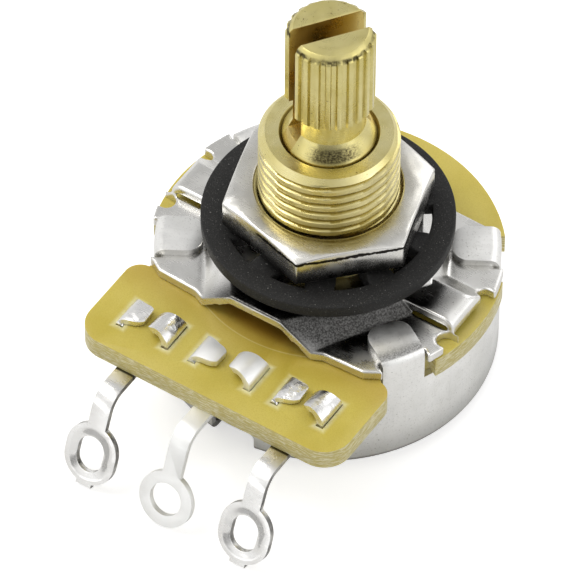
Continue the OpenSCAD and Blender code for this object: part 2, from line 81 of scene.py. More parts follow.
class StainOrPaintedLight(Enum):
    """Colours laid over the finishes: a few are real marks such as streaks and mottling, most are painted shade,
    painted shadow and painted reflections.
    """

    TAB_BEND_SHADE = (0.16, 0.155, 0.145)
    LOWER_WALL_SHADE = (0.38, 0.375, 0.355)
    BOTTOM_EDGE_SHADE = (0.13, 0.115, 0.09)
    STREAK = (0.52, 0.51, 0.48)
    MOTTLE = (0.44, 0.43, 0.40)
    WASHER_REFLECTION = (0.018, 0.017, 0.016)
    OLD_BRASS = (0.50, 0.43, 0.20)
    THREAD_GROOVE_SHADE = (0.20, 0.125, 0.03)
    BORE_MOUTH_SHADE = (0.12, 0.075, 0.02)
    BRASS_GLINT = (0.36, 0.31, 0.15)
    NUT_SIDE_REFLECTION = (0.045, 0.042, 0.038)
    NUT_LINE = (0.02, 0.018, 0.016)
    SIDE_FACE_SHADE = (0.10, 0.097, 0.09)
    WAFER_REFLECTION_ON_LEADS = (0.50, 0.43, 0.19)
    LEAD_SHADOW = (0.03, 0.027, 0.02)
    SLOT_WALL_SHADE = (0.50, 0.345, 0.095)
    BURR_SHADE = (0.05, 0.04, 0.02)
    CONE = (0.065, 0.05, 0.022)


def node_box(node: str) -> tuple[Vector, Vector]:
    """Lowest and highest corner of a CAD node in millimetres.

    Args:
        node: name of the CAD node.

    Returns:
        The two corners.
    """
    low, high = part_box(node)
    return Vector(low) / MM, Vector(high) / MM


# Node trees


class Nodes:
    """A node tree whose nodes are added and linked one by one."""

    def __init__(self, tree: bpy.types.NodeTree) -> None:
        """Work on one node tree."""
        self.tree = tree

    def feed(self, socket: Socket, value: object) -> None:
        """Link an input to a socket, or set its value.

        Args:
            socket: the input.
            value: a socket, a number or a colour. None leaves the input as it is.
        """
        if isinstance(value, Socket):
            self.tree.links.new(value, socket)
        elif value is not None:
            socket.default_value = (*value[:3], 1.0) if socket.type == "RGBA" else value

    def add(self, kind: str, values: Optional[dict] = None, **settings: object) -> bpy.types.Node:
        """Add a node.

        Args:
            kind: the node's Blender type.
            values: input name or number to value or socket.
            settings: the node's properties.

        Returns:
            The new node.
        """
        node = self.tree.nodes.new(kind)
        for key, value in settings.items():
            setattr(node, key, value)
        for key, value in (values or {}).items():
            self.feed(node.inputs[key], value)
        return node

    def out(self, kind: str, values: Optional[dict] = None, **settings: object) -> Socket:
        """Add a node as add does, and give its first output."""
        return self.add(kind, values, **settings).outputs[0]

    def math(self, how: str, first: object, *others: object) -> Socket:
        """Work out a sum.

        Args:
            how: the operation, such as SQRT for one value or MAXIMUM for several.
            first: number or socket.
            others: more of them, taken in by turns.

        Returns:
            The result's socket.
        """
        for value in others or (None,):
            first = self.out("ShaderNodeMath", {0: first, 1: value}, operation=how)
        return first

    def product(self, *values: object) -> Socket:
        """Multiply values."""
        return self.math("MULTIPLY", *values)

    def total(self, *values: object) -> Socket:
        """Add values up."""
        return self.math("ADD", *values)

    def distance(self, a: Socket, b: Socket) -> Socket:
        """Length of a line that goes a one way and b square to it."""
        return self.math("SQRT", self.total(self.product(a, a), self.product(b, b)))

    def step(self, value: object, low: float, high: float, out_low: float = 0.0, out_high: object = 1.0) -> Socket:
        """Carry a value smoothly from one range to another.

        Args:
            value: socket to read.
            low: where the rise starts.
            high: where it ends.
            out_low: result at low.
            out_high: result at high.

        Returns:
            The result's socket.
        """
        values = {0: value, 1: low, 2: high, 3: out_low, 4: out_high}
        return self.out("ShaderNodeMapRange", values, interpolation_type="SMOOTHSTEP")

    def vector(self, x: object = 0.0, y: object = 0.0, z: object = 0.0) -> Socket:
        """Join three values into a vector."""
        return self.out("ShaderNodeCombineXYZ", {0: x, 1: y, 2: z})

    def split(self, vector: Socket) -> tuple[Socket, ...]:
        """The x, y and z of a vector as three sockets."""
        return tuple(self.add("ShaderNodeSeparateXYZ", {0: vector}).outputs)


class Surface(Nodes):
    """A material on the object's own coordinates, plain until its nodes are added."""

    def __init__(self, name: str) -> None:
        """Start from a plain Principled surface.

        Args:
            name: the material's name.
        """
        self.material = bpy.data.materials.new(name)
        self.material.use_nodes = True
        super().__init__(self.material.node_tree)
        self.bsdf = self.tree.nodes["Principled BSDF"]
        self.place = self.add("ShaderNodeTexCoord").outputs["Object"]
        self.x, self.y, self.z = self.split(self.place)

    @cached_property
    def radius(self) -> Socket:
        """Distance from the shaft's axis."""
        return self.distance(self.x, self.y)

    @cached_property
    def azimuth(self) -> Socket:
        """Angle round the shaft's axis."""
        return self.math("ARCTAN2", self.y, self.x)

    @cached_property
    def forward(self) -> Socket:
        """How far a point lies from the axis towards the photograph's side."""
        return self.total(self.product(self.x, 0.54), self.product(self.y, -0.84))

    @cached_property
    def normal(self) -> tuple[Socket, ...]:
        """The x, y and z of the surface's direction, as three sockets."""
        return self.split(self.add("ShaderNodeNewGeometry").outputs["Normal"])

    @cached_property
    def facing_up(self) -> Socket:
        """How far the surface looks up or down, 0 on an upright wall and 1 on a level face."""
        return self.math("ABSOLUTE", self.normal[2])

    def set(self, values: dict) -> None:
        """Set or link the shader's own inputs by name."""
        for name, value in values.items():
            self.feed(self.bsdf.inputs[name], value)

    def coat(self, mesh: bpy.types.Mesh) -> None:
        """Make this the one material of a mesh."""
        mesh.materials.clear()
        mesh.materials.append(self.material)

    def noise(self, scale: float, detail: float = 3.0, rough: float = 0.5, vector: Optional[Socket] = None) -> Socket:
        """Noise with features of about 1 / scale metres.

        Args:
            scale: features per metre.
            detail: octaves.
            rough: strength of the finer octaves.
            vector: coordinates, the object's own if left out.

        Returns:
            The noise value's socket.
        """
        values = {"Vector": vector or self.place, "Scale": scale, "Detail": detail, "Roughness": rough}
        return self.out("ShaderNodeTexNoise", values)

    def fine_noise(self, size: float, detail: float = 2.0, rough: float = 0.5) -> Socket:
        """Noise with features of a size in millimetres."""
        return self.noise(1.0 / (size * MM), detail, rough)

    def grain(self, size: float, low: float, high: float, out_low: float = 0.0, out_high: float = 1.0,
              detail: float = 3.0, rough: float = 0.7) -> Socket:
        """Noise of a size in millimetres, carried from one range to another."""
        return self.step(self.fine_noise(size, detail, rough), low, high, out_low, out_high)

    def ramp(self, value: Socket, low: float, high: float, out_low: float = 0.0, out_high: float = 1.0) -> Socket:
        """Do as step does, with low and high in millimetres."""
        return self.step(value, low * MM, high * MM, out_low, out_high)

    def span(self, value: Socket, levels: Sequence[float], unit: float = MM) -> Socket:
        """1 between the middle two of four levels and 0 past the outer two."""
        a, b, c, d = (level * unit for level in levels)
        return self.product(self.step(value, a, b), self.step(value, c, d, 1.0, 0.0))

    def beyond(self, value: Socket, middle: float, half: float) -> Socket:
        """How far a value lies past a band with a middle and half a width in millimetres."""
        return self.math("SUBTRACT", self.math("ABSOLUTE", self.math("SUBTRACT", value, middle * MM)), half * MM)

    def scaled(self, values: Sequence[object], scales: Sequence[float]) -> Socket:
        """A vector of three values, each times its scale."""
        return self.vector(*(self.product(value, scale) for value, scale in zip(values, scales)))

    def mix(self, factor: object, a: object, b: object) -> Socket:
        """Blend two colours.

        Args:
            factor: 0 gives a, 1 gives b.
            a: first colour or socket.
            b: second colour or socket.

        Returns:
            The blend's socket.
        """
        # Inputs 6 and 7 and output 2 are the node's colour sockets.
        return self.add("ShaderNodeMix", {0: factor, 6: a, 7: b}, data_type="RGBA").outputs[2]

    def tint(self, overlay: StainOrPaintedLight, *factors: object) -> None:
        """Lay a stain, or painted shade, shadow or reflection, over the colour that the surface has.

        Args:
            overlay: the stain or painted light to lay over.
            factors: how much of it, as one or more values that are multiplied.
        """
        base = self.bsdf.inputs["Base Color"]
        self.feed(base, self.mix(self.product(1.0, *factors), base.links[0].from_socket, overlay.value))

    def relief(self, height: Socket, depth_mm: float) -> None:
        """Add fine relief to the surface, on top of what it has.

        Args:
            height: relief between 0 and 1.
            depth_mm: what 1 stands for.
        """
        normal = self.bsdf.inputs["Normal"]
        below = normal.links[0].from_socket if normal.is_linked else None
        values = {"Strength": 1.0, "Distance": depth_mm * MM, "Height": height, "Normal": below}
        self.feed(normal, self.out("ShaderNodeBump", values))


@dataclass(frozen=True)
class MetalFinish:
    """A bare or plated metal.

    The colour drifts towards its shade in soft clouds. Marks run along the lay, specks are small dark
    pits and stains, and the roughness wanders between two values.
    """

    name: str
    colour: Colour
    shade: Colour
    rough: Pair
    lay: Lay = Lay.ROLLED
    mark_mm: float = 0.0004
    marks_per_mm: float = 14.0
    specks: float = 0.0
    speck_mm: float = 0.12
    speck_colour: Colour = (0.30, 0.28, 0.25)
    grain_mm: float = 0.07
    grain_depth: float = 0.0

    def marks_vector(self, s: Surface) -> Socket:
        """Coordinates in which the marks of this lay are stretched.

        Args:
            s: the surface being made.

        Returns:
            The coordinates' socket.
        """
        axes = (s.x, s.y, s.z)
        if self.lay is Lay.TURNED:
            axes = (s.radius, 0.0, s.z)
        elif self.lay is Lay.DRAWN:
            axes = (s.azimuth, s.radius, s.z)
        return s.scaled(axes, [stretch * self.marks_per_mm / MM for stretch in self.lay.value])

    def build(self) -> Surface:
        """Make the material.

        Returns:
            The surface, ready for extra nodes.
        """
        s = Surface(self.name)
        colour = s.mix(s.step(s.noise(420.0, 4.0), 0.35, 0.68), self.colour, self.shade)
        if self.specks:
            pits = s.grain(self.speck_mm, 0.66, 0.74, detail=2.0, rough=0.5)
            where = s.step(s.noise(260.0, 2.0), 0.62 - 0.2 * self.specks, 0.72 - 0.1 * self.specks)
            colour = s.mix(s.product(pits, where), colour, self.speck_colour)
        marks = s.noise(1.0, 2.0, 0.6, self.marks_vector(s))
        wander = s.total(s.product(s.noise(700.0), 0.7), s.product(marks, 0.3))
        s.set({"Base Color": colour, "Metallic": 1.0, "Roughness": s.step(wander, 0.35, 0.65, *self.rough)})
        s.relief(marks, self.mark_mm)
        s.relief(s.noise(900.0, 4.0, 0.55), self.mark_mm * 5.0)
        if self.grain_depth:
            s.relief(s.fine_noise(self.grain_mm, 2.0, 0.6), self.grain_depth)
        return s


@dataclass(frozen=True)
class DullFinish:
    """A coat, print or plastic that isn't metal to the eye."""

    name: str
    colour: Colour
    shade: Colour
    rough: float
    grain_mm: float
    relief_mm: float
    dust: float = 0.0
    dust_colour: Colour = (0.24, 0.235, 0.22)
    gloss: float = 0.5

    def build(self) -> Surface:
        """Make the material.

        Returns:
            The surface, ready for extra nodes.
        """
        s = Surface(self.name)
        grain = s.fine_noise(self.grain_mm, 4.0, 0.65)
        colour = s.mix(s.step(grain, 0.35, 0.7), self.colour, self.shade)
        if self.dust:
            fleck = s.grain(0.11, 0.71, 0.78, detail=1.0, rough=0.5)
            powder = s.grain(0.055, 0.56, 0.74, 0.0, 0.34, 2.0, 0.6)
            colour = s.mix(s.product(s.math("MAXIMUM", fleck, powder), self.dust), colour, self.dust_colour)
        s.set({"Base Color": colour, "Roughness": s.step(grain, 0.3, 0.7, self.rough - 0.08, self.rough + 0.08),
               "Specular IOR Level": self.gloss})
        s.relief(grain, self.relief_mm)
        return s


BRASS = MetalFinish("turned_brass", (0.77, 0.69, 0.35), (0.68, 0.59, 0.24), (0.20, 0.34), Lay.TURNED,
                    mark_mm=0.0011, specks=0.5, speck_mm=0.16, speck_colour=(0.20, 0.15, 0.05))
SHAFT_BRASS = MetalFinish("splined_brass", (0.70, 0.62, 0.28), (0.62, 0.54, 0.21), (0.22, 0.38), Lay.TURNED,
                          mark_mm=0.0010, specks=0.8, speck_mm=0.2, speck_colour=(0.17, 0.12, 0.04))
PLATE_NICKEL = MetalFinish("bright_nickel", (0.80, 0.79, 0.765), (0.70, 0.69, 0.66), (0.17, 0.36),
                           mark_mm=0.0005, specks=0.6, speck_mm=0.10, grain_depth=0.0030)
CASE_NICKEL = MetalFinish("satin_nickel", (0.86, 0.855, 0.835), (0.80, 0.795, 0.77), (0.34, 0.46), Lay.DRAWN,
                          mark_mm=0.0006, specks=0.9, speck_mm=0.13, speck_colour=(0.36, 0.34, 0.31),
                          grain_depth=0.0034)
NUT_NICKEL = MetalFinish("polished_nickel", (0.75, 0.74, 0.71), (0.67, 0.655, 0.615), (0.17, 0.32),
                         specks=0.4, speck_colour=(0.30, 0.27, 0.22), grain_depth=0.0016)
TIN = MetalFinish("tin_plate", (0.88, 0.875, 0.86), (0.80, 0.79, 0.77), (0.20, 0.36), mark_mm=0.0006,
                  grain_depth=0.0020)
MATT_TIN = MetalFinish("matt_tin_plate", (0.88, 0.88, 0.865), (0.83, 0.83, 0.81), (0.42, 0.55), mark_mm=0.0008,
                       grain_depth=0.0030)
STEEL = MetalFinish("plain_steel", (0.56, 0.56, 0.55), (0.46, 0.46, 0.45), (0.28, 0.42), mark_mm=0.0008)
BRONZE = MetalFinish("spring_bronze", (0.78, 0.53, 0.27), (0.68, 0.44, 0.2), (0.18, 0.3))
BLACK = DullFinish("black_oxide", (0.009, 0.0088, 0.0085), (0.019, 0.0185, 0.0175), 0.62, 0.10, 0.014, dust=0.9,
                   gloss=0.28)
CARBON = DullFinish("printed_carbon", (0.018, 0.017, 0.016), (0.03, 0.028, 0.026), 0.5, 0.05, 0.003)
SILVER = DullFinish("printed_silver", (0.52, 0.51, 0.48), (0.44, 0.43, 0.40), 0.38, 0.05, 0.003)
PHENOLIC = DullFinish("brown_laminate", (0.17, 0.09, 0.04), (0.12, 0.06, 0.028), 0.48, 0.3, 0.004)


@dataclass(frozen=True)
class ClawSlots:
    """Where the claws pass through the wafer, in millimetres."""

    outer_x: Triple = (2.1, 2.5, 2.1)
    width: float = 0.57
    length: float = 2.52

    def nearness(self, s: Surface, reach: float) -> Socket:
        """1 at the rim of a slot, falling to 0 at a distance.

        Args:
            s: the surface being made.
            reach: that distance, in millimetres.

        Returns:
            The result's socket.
        """
        ahead = s.beyond(s.y, CLAW_ROW_Y, self.length / 2)
        gaps = []
        for index, outer in enumerate(self.outer_x):
            for side in (-1, 1):
                middle = (index - 1) * TERMINAL_PITCH + side * (outer - self.width / 2)
                gaps.append(s.math("MAXIMUM", s.beyond(s.x, middle, self.width / 2), ahead))
        return s.ramp(s.math("MINIMUM", *gaps), 0.0, reach, 1.0, 0.0)


@dataclass(frozen=True)
class LaminateFinish:
    """Yellow glass-epoxy: glossy faces, pale fibrous edges, whitened rims round the punched claw slots."""

    name: str = "glass_epoxy"
    face: Colour = (0.69, 0.57, 0.115)
    face_shade: Colour = (0.61, 0.49, 0.070)
    edge: Colour = (0.76, 0.70, 0.44)
    edge_shade: Colour = (0.54, 0.45, 0.13)
    weave: Colour = (0.50, 0.37, 0.035)
    rim: Colour = (0.86, 0.80, 0.44)
    rim_mm: float = 0.42
    track_r: float = 9.52
    track_and_shade_colour: Colour = (0.40, 0.21, 0.02)
    slots: ClawSlots = ClawSlots()

    def build(self) -> Surface:
        """Make the material.

        Returns:
            The surface.
        """
        s = Surface(self.name)
        face = s.mix(s.step(s.noise(240.0, 4.0), 0.35, 0.7), self.face, self.face_shade)
        face = s.mix(s.grain(0.075, 0.42, 0.66, 0.0, 0.28, 2.0, 0.6), face, self.weave)
        # The brown of the track that shows through the laminate, and painted shade near the plate's edge, only in front
        # of the plate.
        track = self.track_r
        under = s.ramp(s.radius, track - 1.5, track + 0.4, 0.85, 0.0)
        inside = s.ramp(s.radius, track - 0.10, track + 0.02, 0.16, 0.0)
        wide_plate_shade = s.ramp(s.radius, 8.6, 12.6, 0.40, 0.0)
        close = s.ramp(s.y, -11.2, -8.2, 0.0, 0.36)
        front = s.ramp(s.y, -6.6, -7.8)
        track_show_and_shade = s.product(s.total(s.math("MAXIMUM", under, wide_plate_shade, close), inside), front)
        face = s.mix(track_show_and_shade, face, self.track_and_shade_colour)
        line = s.span(s.radius, (track - 0.02, track + 0.03, track + 0.05, track + 0.10))
        face = s.mix(s.product(line, 0.3, front), face, self.rim)
        layers = s.noise(1.0, 3.0, 0.7, s.scaled((s.x, s.y, s.z), (1500.0, 1500.0, 9000.0)))
        edge = s.mix(s.step(layers, 0.42, 0.66), self.edge_shade, self.edge)
        colour = s.mix(s.step(s.facing_up, 0.35, 0.8), edge, face)
        near = s.product(self.slots.nearness(s, self.rim_mm), s.step(s.noise(2600.0, 2.0), 0.2, 0.7, 0.45, 1.0))
        s.set({"Base Color": s.mix(near, colour, self.rim), "Roughness": 0.34, "Subsurface Weight": 0.15,
               "Subsurface Radius": (1.0, 0.75, 0.2), "Subsurface Scale": 0.9 * MM})
        s.relief(s.noise(1400.0), 0.0035)
        s.relief(s.product(layers, s.step(s.facing_up, 0.3, 0.6, 1.0, 0.0)), 0.02)
        return s


# Meshes


def placed(name: str, data: bpy.types.ID, matrix: Matrix = Matrix()) -> Thing:
    """Put a mesh, lamp or camera into the scene.

    Args:
        name: the object's name.
        data: its mesh, lamp or camera.
        matrix: its place, the origin if left out.

    Returns:
        The object.
    """
    thing = bpy.data.objects.new(name, data)
    thing.matrix_world = matrix
    bpy.context.scene.collection.objects.link(thing)
    return thing


def piece_from(name: str, build: Callable[[Mesh], object]) -> Thing:
    """Make an object from mesh code that works in millimetres.

    Args:
        name: the piece's name.
        build: fills the mesh.

    Returns:
        The object, at the origin and in metres.
    """
    bm = bmesh.new()
    build(bm)
    bmesh.ops.scale(bm, vec=(MM, MM, MM), verts=bm.verts)
    mesh = bpy.data.meshes.new(name)
    bm.to_mesh(mesh)
    bm.free()
    return placed(name, mesh)


@contextmanager
def editing(thing: Thing) -> Iterator[Mesh]:
    """Open the mesh of a piece and write it back at the end.

    Args:
        thing: the piece.

    Returns:
        The open mesh.
    """
    bm = bmesh.new()
    bm.from_mesh(thing.data)
    yield bm
    bm.to_mesh(thing.data)
    bm.free()


def cad_copy(node: str, how: str) -> Thing:
    """A closed copy of a CAD node with its flat faces joined again.

    Args:
        node: the CAD node.
        how: how the real one is made, which ends the copy's name.

    Returns:
        The copy.
    """
    thing = placed(f"{node}_{how}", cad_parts[node].data.copy())
    with editing(thing) as bm:
        bmesh.ops.remove_doubles(bm, verts=bm.verts, dist=0.0008 * MM)
        bmesh.ops.dissolve_limit(bm, angle_limit=math.radians(0.4), verts=bm.verts, edges=bm.edges)
    return thing


def round_edges(thing: Thing, width: float, segments: int = 3) -> None:
    """Round the edges of a piece that turn by more than SHARP_DEG.

    Args:
        thing: the piece.
        width: radius in millimetres.
        segments: steps round an edge.
    """
    bevel = thing.modifiers.new("rounded_edges", "BEVEL")
    bevel.width = width * MM
    bevel.segments = segments
    bevel.limit_method = "ANGLE"
    bevel.angle_limit = math.radians(SHARP_DEG)
    bevel.use_clamp_overlap = True
    bevel.harden_normals = True
    thing.data.shade_smooth()


def smooth(thing: Thing, degrees: float) -> None:
    """Shade a piece smooth but for edges that turn by more degrees."""
    thing.data.shade_smooth()
    thing.data.set_sharp_from_angle(angle=math.radians(degrees))


def bake(thing: Thing) -> None:
    """Turn a piece and its modifiers into a plain mesh.

    Args:
        thing: the piece.
    """
    graph = bpy.context.evaluated_depsgraph_get()
    mesh = bpy.data.meshes.new_from_object(thing.evaluated_get(graph), depsgraph=graph)
    thing.modifiers.clear()
    thing.data = mesh


def soft_sheet(thing: Thing, voxel: float, rounds: int) -> None:
    """Remesh a piece evenly and let its bends and edges flow, as in pressed sheet.

    Args:
        thing: the piece.
        voxel: mesh size in millimetres.
        rounds: how often the surface is relaxed.
    """
    thing.data.transform(Matrix.Scale(1 / MM, 4))
    remesh = thing.modifiers.new("even_mesh", "REMESH")
    remesh.mode = "VOXEL"
    remesh.voxel_size = voxel
    relax = thing.modifiers.new("flow", "SMOOTH")
    relax.factor = 0.5
    relax.iterations = rounds
    bake(thing)
    thing.data.transform(Matrix.Scale(MM, 4))
    thing.data.shade_smooth()


def turned(bm: Mesh, section: Sequence[Pair], steps: int) -> None:
    """Turn a closed half section round the shaft's axis.

    Args:
        bm: mesh to fill.
        section: points (radius, height), counter-clockwise, all off the axis.
        steps: points round the circle.
    """
    rings = []
    for i in range(steps):
        c, s = math.cos(math.tau * i / steps), math.sin(math.tau * i / steps)
        rings.append([bm.verts.new((r * c, r * s, z)) for r, z in section])
    for a, b in zip(rings, rings[1:] + rings[:1]):
        for k in range(len(section)):
            n = (k + 1) % len(section)
            bm.faces.new((a[k], b[k], b[n], a[n]))


def ribbon(bm: Mesh, path: Sequence[Vector], across: Sequence[tuple[Vector, Vector]],
           thickness: float) -> None:
    """A strip of sheet along a path, with closed ends.

    Args:
        bm: mesh to fill.
        path: points of the strip's middle line.
        across: for each point the offsets to the strip's two sides.
        thickness: sheet thickness.
    """
    rings = []
    for i, point in enumerate(path):
        ahead = path[min(i + 1, len(path) - 1)] - path[max(i - 1, 0)]
        left, right = across[i]
        normal = ahead.cross(left - right).normalized() * (thickness / 2)
        corners = (point + left + normal, point + right + normal, point + right - normal, point + left - normal)
        rings.append([bm.verts.new(c) for c in corners])
    for a, b in zip(rings, rings[1:]):
        for k in range(4):
            bm.faces.new((a[k], a[(k + 1) % 4], b[(k + 1) % 4], b[k]))
    bm.faces.new(rings[0][::-1])
    bm.faces.new(rings[-1])


def finish_piece(thing: Thing, surface: Surface, node: str, body: str = "housing") -> None:
    """Give a piece its material and its body, and hide the CAD node that it stands for.

    Args:
        thing: the piece.
        surface: its finish.
        node: the CAD node that it replaces.
        body: the CAD body that it moves with.
    """
    surface.coat(thing.data)
    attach(thing, body)
    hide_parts(node)
    LOG.info("%s: %d faces, rides on %s", thing.name, len(thing.data.polygons), body)


def dress(surface: Surface, *nodes: str) -> None:
    """Give CAD nodes that stay a better material.

    Args:
        surface: the finish.
        nodes: the nodes.
    """
    for node in nodes:
        surface.coat(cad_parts[node].data)
        LOG.info("%s: CAD node dressed", node)


# Geometry node trees


class Tree(Nodes):
    """A geometry node tree with named inputs."""

    def __init__(self, name: str) -> None:
        """Start an empty tree with a Geometry output.

        Args:
            name: the tree's name.
        """
        super().__init__(bpy.data.node_groups.new(name, "GeometryNodeTree"))
        self.tree.interface.new_socket("Geometry", in_out="OUTPUT", socket_type="NodeSocketGeometry")
        self.start = self.add("NodeGroupInput")
        self.end = self.add("NodeGroupOutput")

    def inputs(self, kind: str, *names: str) -> list[Socket]:
        """Add named inputs of one kind.

        Args:
            kind: socket type, such as Float or Int.
            names: the inputs' names.

        Returns:
            The sockets to link from.
        """
        for name in names:
            self.tree.interface.new_socket(name, in_out="INPUT", socket_type="NodeSocket" + kind)
        return [self.start.outputs[name] for name in names]

    def close(self, geometry: Socket, material: Socket) -> None:
        """End the tree in Realize Instances and Set Material."""
        real = self.out("GeometryNodeRealizeInstances", {0: geometry})
        self.feed(self.end.inputs[0], self.out("GeometryNodeSetMaterial", {"Geometry": real, "Material": material}))

    def run(self, thing: Thing, lengths: dict[str, float], others: dict[str, object]) -> None:
        """Put the tree on a piece and bake the result.

        Args:
            thing: the piece.
            lengths: input name to millimetres.
            others: input name to any other value.
        """
        values = {**{name: length * MM for name, length in lengths.items()}, **others}
        modifier = thing.modifiers.new(self.tree.name, "NODES")
        modifier.node_group = self.tree
        for item in self.tree.interface.items_tree:
            if item.in_out == "INPUT" and item.name in values:
                modifier[item.identifier] = values[item.name]
        bake(thing)


def thread_tree() -> Tree:
    """A tree that cuts a right-handed thread into the part of a turned blank between two levels.

    Returns:
        The tree.
    """
    t = Tree("cut_thread")
    (blank,) = t.inputs("Geometry", "Blank")
    major, depth, pitch, low, high = t.inputs("Float", "Major Radius", "Depth", "Pitch", "Bottom", "Top")
    (material,) = t.inputs("Material", "Material")
    x, y, z = t.split(t.out("GeometryNodeInputPosition"))
    radius = t.distance(x, y)
    turn = t.math("DIVIDE", t.math("ARCTAN2", y, x), math.tau)
    phase = t.math("FRACT", t.math("SUBTRACT", t.math("DIVIDE", z, pitch), turn))
    # 0 in the middle of a groove, 1 in the middle of a crest. The crests stay flat.
    away = t.product(t.math("ABSOLUTE", t.math("SUBTRACT", phase, 0.5)), 2.0)
    groove = t.step(away, 0.04, 0.54, 1.0, 0.0)
    cut = t.math("SUBTRACT", major, t.product(groove, depth))
    ratio = t.math("DIVIDE", t.math("MINIMUM", radius, cut), radius)
    chosen = t.product(t.math("GREATER_THAN", z, low), t.math("LESS_THAN", z, high),
                       t.math("GREATER_THAN", radius, t.math("SUBTRACT", major, depth)))
    where = t.vector(t.product(x, ratio), t.product(y, ratio), z)
    moved = t.out("GeometryNodeSetPosition", {"Geometry": blank, "Selection": chosen, "Position": where})
    t.close(moved, material)
    return t


def toothed_ring_tree() -> Tree:
    """A tree that makes a flat ring with twisted teeth pointing inwards.

    Returns:
        The tree.
    """
    t = Tree("toothed_ring")
    t.inputs("Geometry", "Blank")
    outer, root, tip, thick = t.inputs("Float", "Outer Radius", "Root Radius", "Tip Radius", "Thickness")
    width, twist, level, first, edge = t.inputs("Float", "Tooth Width", "Twist", "Level", "First Angle", "Edge Radius")
    (count,), (material,) = t.inputs("Int", "Teeth"), t.inputs("Material", "Material")

    def bar(across: Socket, up: Socket) -> Socket:
        """Section of a flat bar with rounded corners."""
        flat = t.out("GeometryNodeCurvePrimitiveQuadrilateral", {"Width": across, "Height": up})
        return t.out("GeometryNodeFilletCurve", {"Curve": flat, "Radius": edge, "Count": 3}, mode="POLY")

    middle = t.product(t.total(outer, root), 0.5)
    circle = t.out("GeometryNodeCurvePrimitiveCircle", {"Resolution": 160, "Radius": middle})
    section = bar(t.math("SUBTRACT", outer, root), thick)
    band = t.out("GeometryNodeCurveToMesh", {"Curve": circle, "Profile Curve": section})
    start = t.vector(t.total(root, t.product(thick, 0.3)))
    line = t.out("GeometryNodeCurvePrimitiveLine", {"Start": start, "End": t.vector(tip)})
    fine = t.out("GeometryNodeResampleCurve", {"Curve": line, "Count": 14})
    eased = t.step(t.out("GeometryNodeSplineParameter"), 0.05, 0.95, 0.0, twist)
    tilted = t.out("GeometryNodeSetCurveTilt", {"Curve": fine, "Tilt": eased})
    tooth = t.out("GeometryNodeCurveToMesh", {"Curve": tilted, "Profile Curve": bar(width, thick), "Fill Caps": True})
    spots = t.out("GeometryNodePoints", {"Count": count})
    angle = t.total(first, t.product(t.out("GeometryNodeInputIndex"), t.math("DIVIDE", math.tau, count)))
    teeth = t.out("GeometryNodeInstanceOnPoints", {"Points": spots, "Instance": tooth, "Rotation": t.vector(z=angle)})
    both = t.add("GeometryNodeJoinGeometry")
    for part in (band, teeth):
        t.feed(both.inputs[0], part)
    lifted = t.out("GeometryNodeTransform", {"Geometry": both.outputs[0], "Translation": t.vector(z=level)})
    t.close(lifted, material)
    return t


# Sub-assemblies


@dataclass
class Housing:
    """Case, mounting plate, wafer and the printed parts under it."""

    edge: float = 0.10
    wafer_edge: float = 0.06
    plate_voxel: float = 0.1
    plate_rounds: int = 7

    def case(self) -> None:
        """The drawn case with its folded tabs."""
        thing = cad_copy("case", "drawn")
        round_edges(thing, self.edge)
        s = CASE_NICKEL.build()
        wall, _, top = node_box("case")[1]
        grain = s.grain(0.10, 0.36, 0.60, 0.55, 1.0)
        # Painted shade: a dark grainy band in the bend of the front tab only.
        s.tint(StainOrPaintedLight.TAB_BEND_SHADE, s.span(s.radius, (wall - 1.5, wall - 0.5, wall - 0.34, wall - 0.22)), 0.85,
               s.ramp(s.z, top - 0.7, top - 0.5), grain, s.ramp(s.forward, 8.0, 9.5))
        upright = s.step(s.facing_up, 0.7, 0.95, 1.0, 0.0)
        # Painted shade: the upright wall darkens towards the floor.
        s.tint(StainOrPaintedLight.LOWER_WALL_SHADE, s.ramp(s.z, 0.2, 3.2, 0.60, 0.0), upright)
        # Painted shade: a dark grainy line along the bottom edge, where the case meets the floor.
        s.tint(StainOrPaintedLight.BOTTOM_EDGE_SHADE, s.ramp(s.z, 0.52, 0.84, 0.95, 0.0), grain, upright)
        streaks = s.noise(1.0, 3.0, 0.7, s.scaled((s.azimuth, 0.0, s.z), (26.0, 1.0, 380.0)))
        s.tint(StainOrPaintedLight.STREAK, s.step(streaks, 0.52, 0.74, 0.0, 0.16))
        s.tint(StainOrPaintedLight.MOTTLE, s.grain(0.17, 0.54, 0.70, 0.0, 0.34))
        finish_piece(thing, s, "case")

    def plate(self) -> None:
        """The pressed mounting plate, its bends softened."""
        thing = cad_copy("mounting_plate", "pressed")
        soft_sheet(thing, self.plate_voxel, self.plate_rounds)
        s = PLATE_NICKEL.build()
        # Painted reflection of the black washer, with painted shade: a grainy dark ring round it on the front of the
        # plate.
        s.tint(StainOrPaintedLight.WASHER_REFLECTION, s.ramp(s.radius, 8.9, 11.3, 0.98, 0.0), s.ramp(s.forward, 3.6, 6.2),
               s.step(s.facing_up, 0.25, 0.6), s.grain(0.12, 0.38, 0.60, 0.90, 1.0))
        finish_piece(thing, s, "mounting_plate")

    def wafer(self) -> None:
        """The laminate wafer."""
        thing = cad_copy("wafer", "laminate")
        round_edges(thing, self.wafer_edge, 2)
        finish_piece(thing, LaminateFinish().build(), "wafer")

    def prints(self) -> None:
        """The printed track and its silver ends stay CAD nodes."""
        dress(CARBON.build(), "resistive_track")
        dress(SILVER.build(), "end_pad_left", "end_pad_right")

    def build(self) -> None:
        """Make all of it."""
        self.case()
        self.plate()
        self.wafer()
        self.prints()


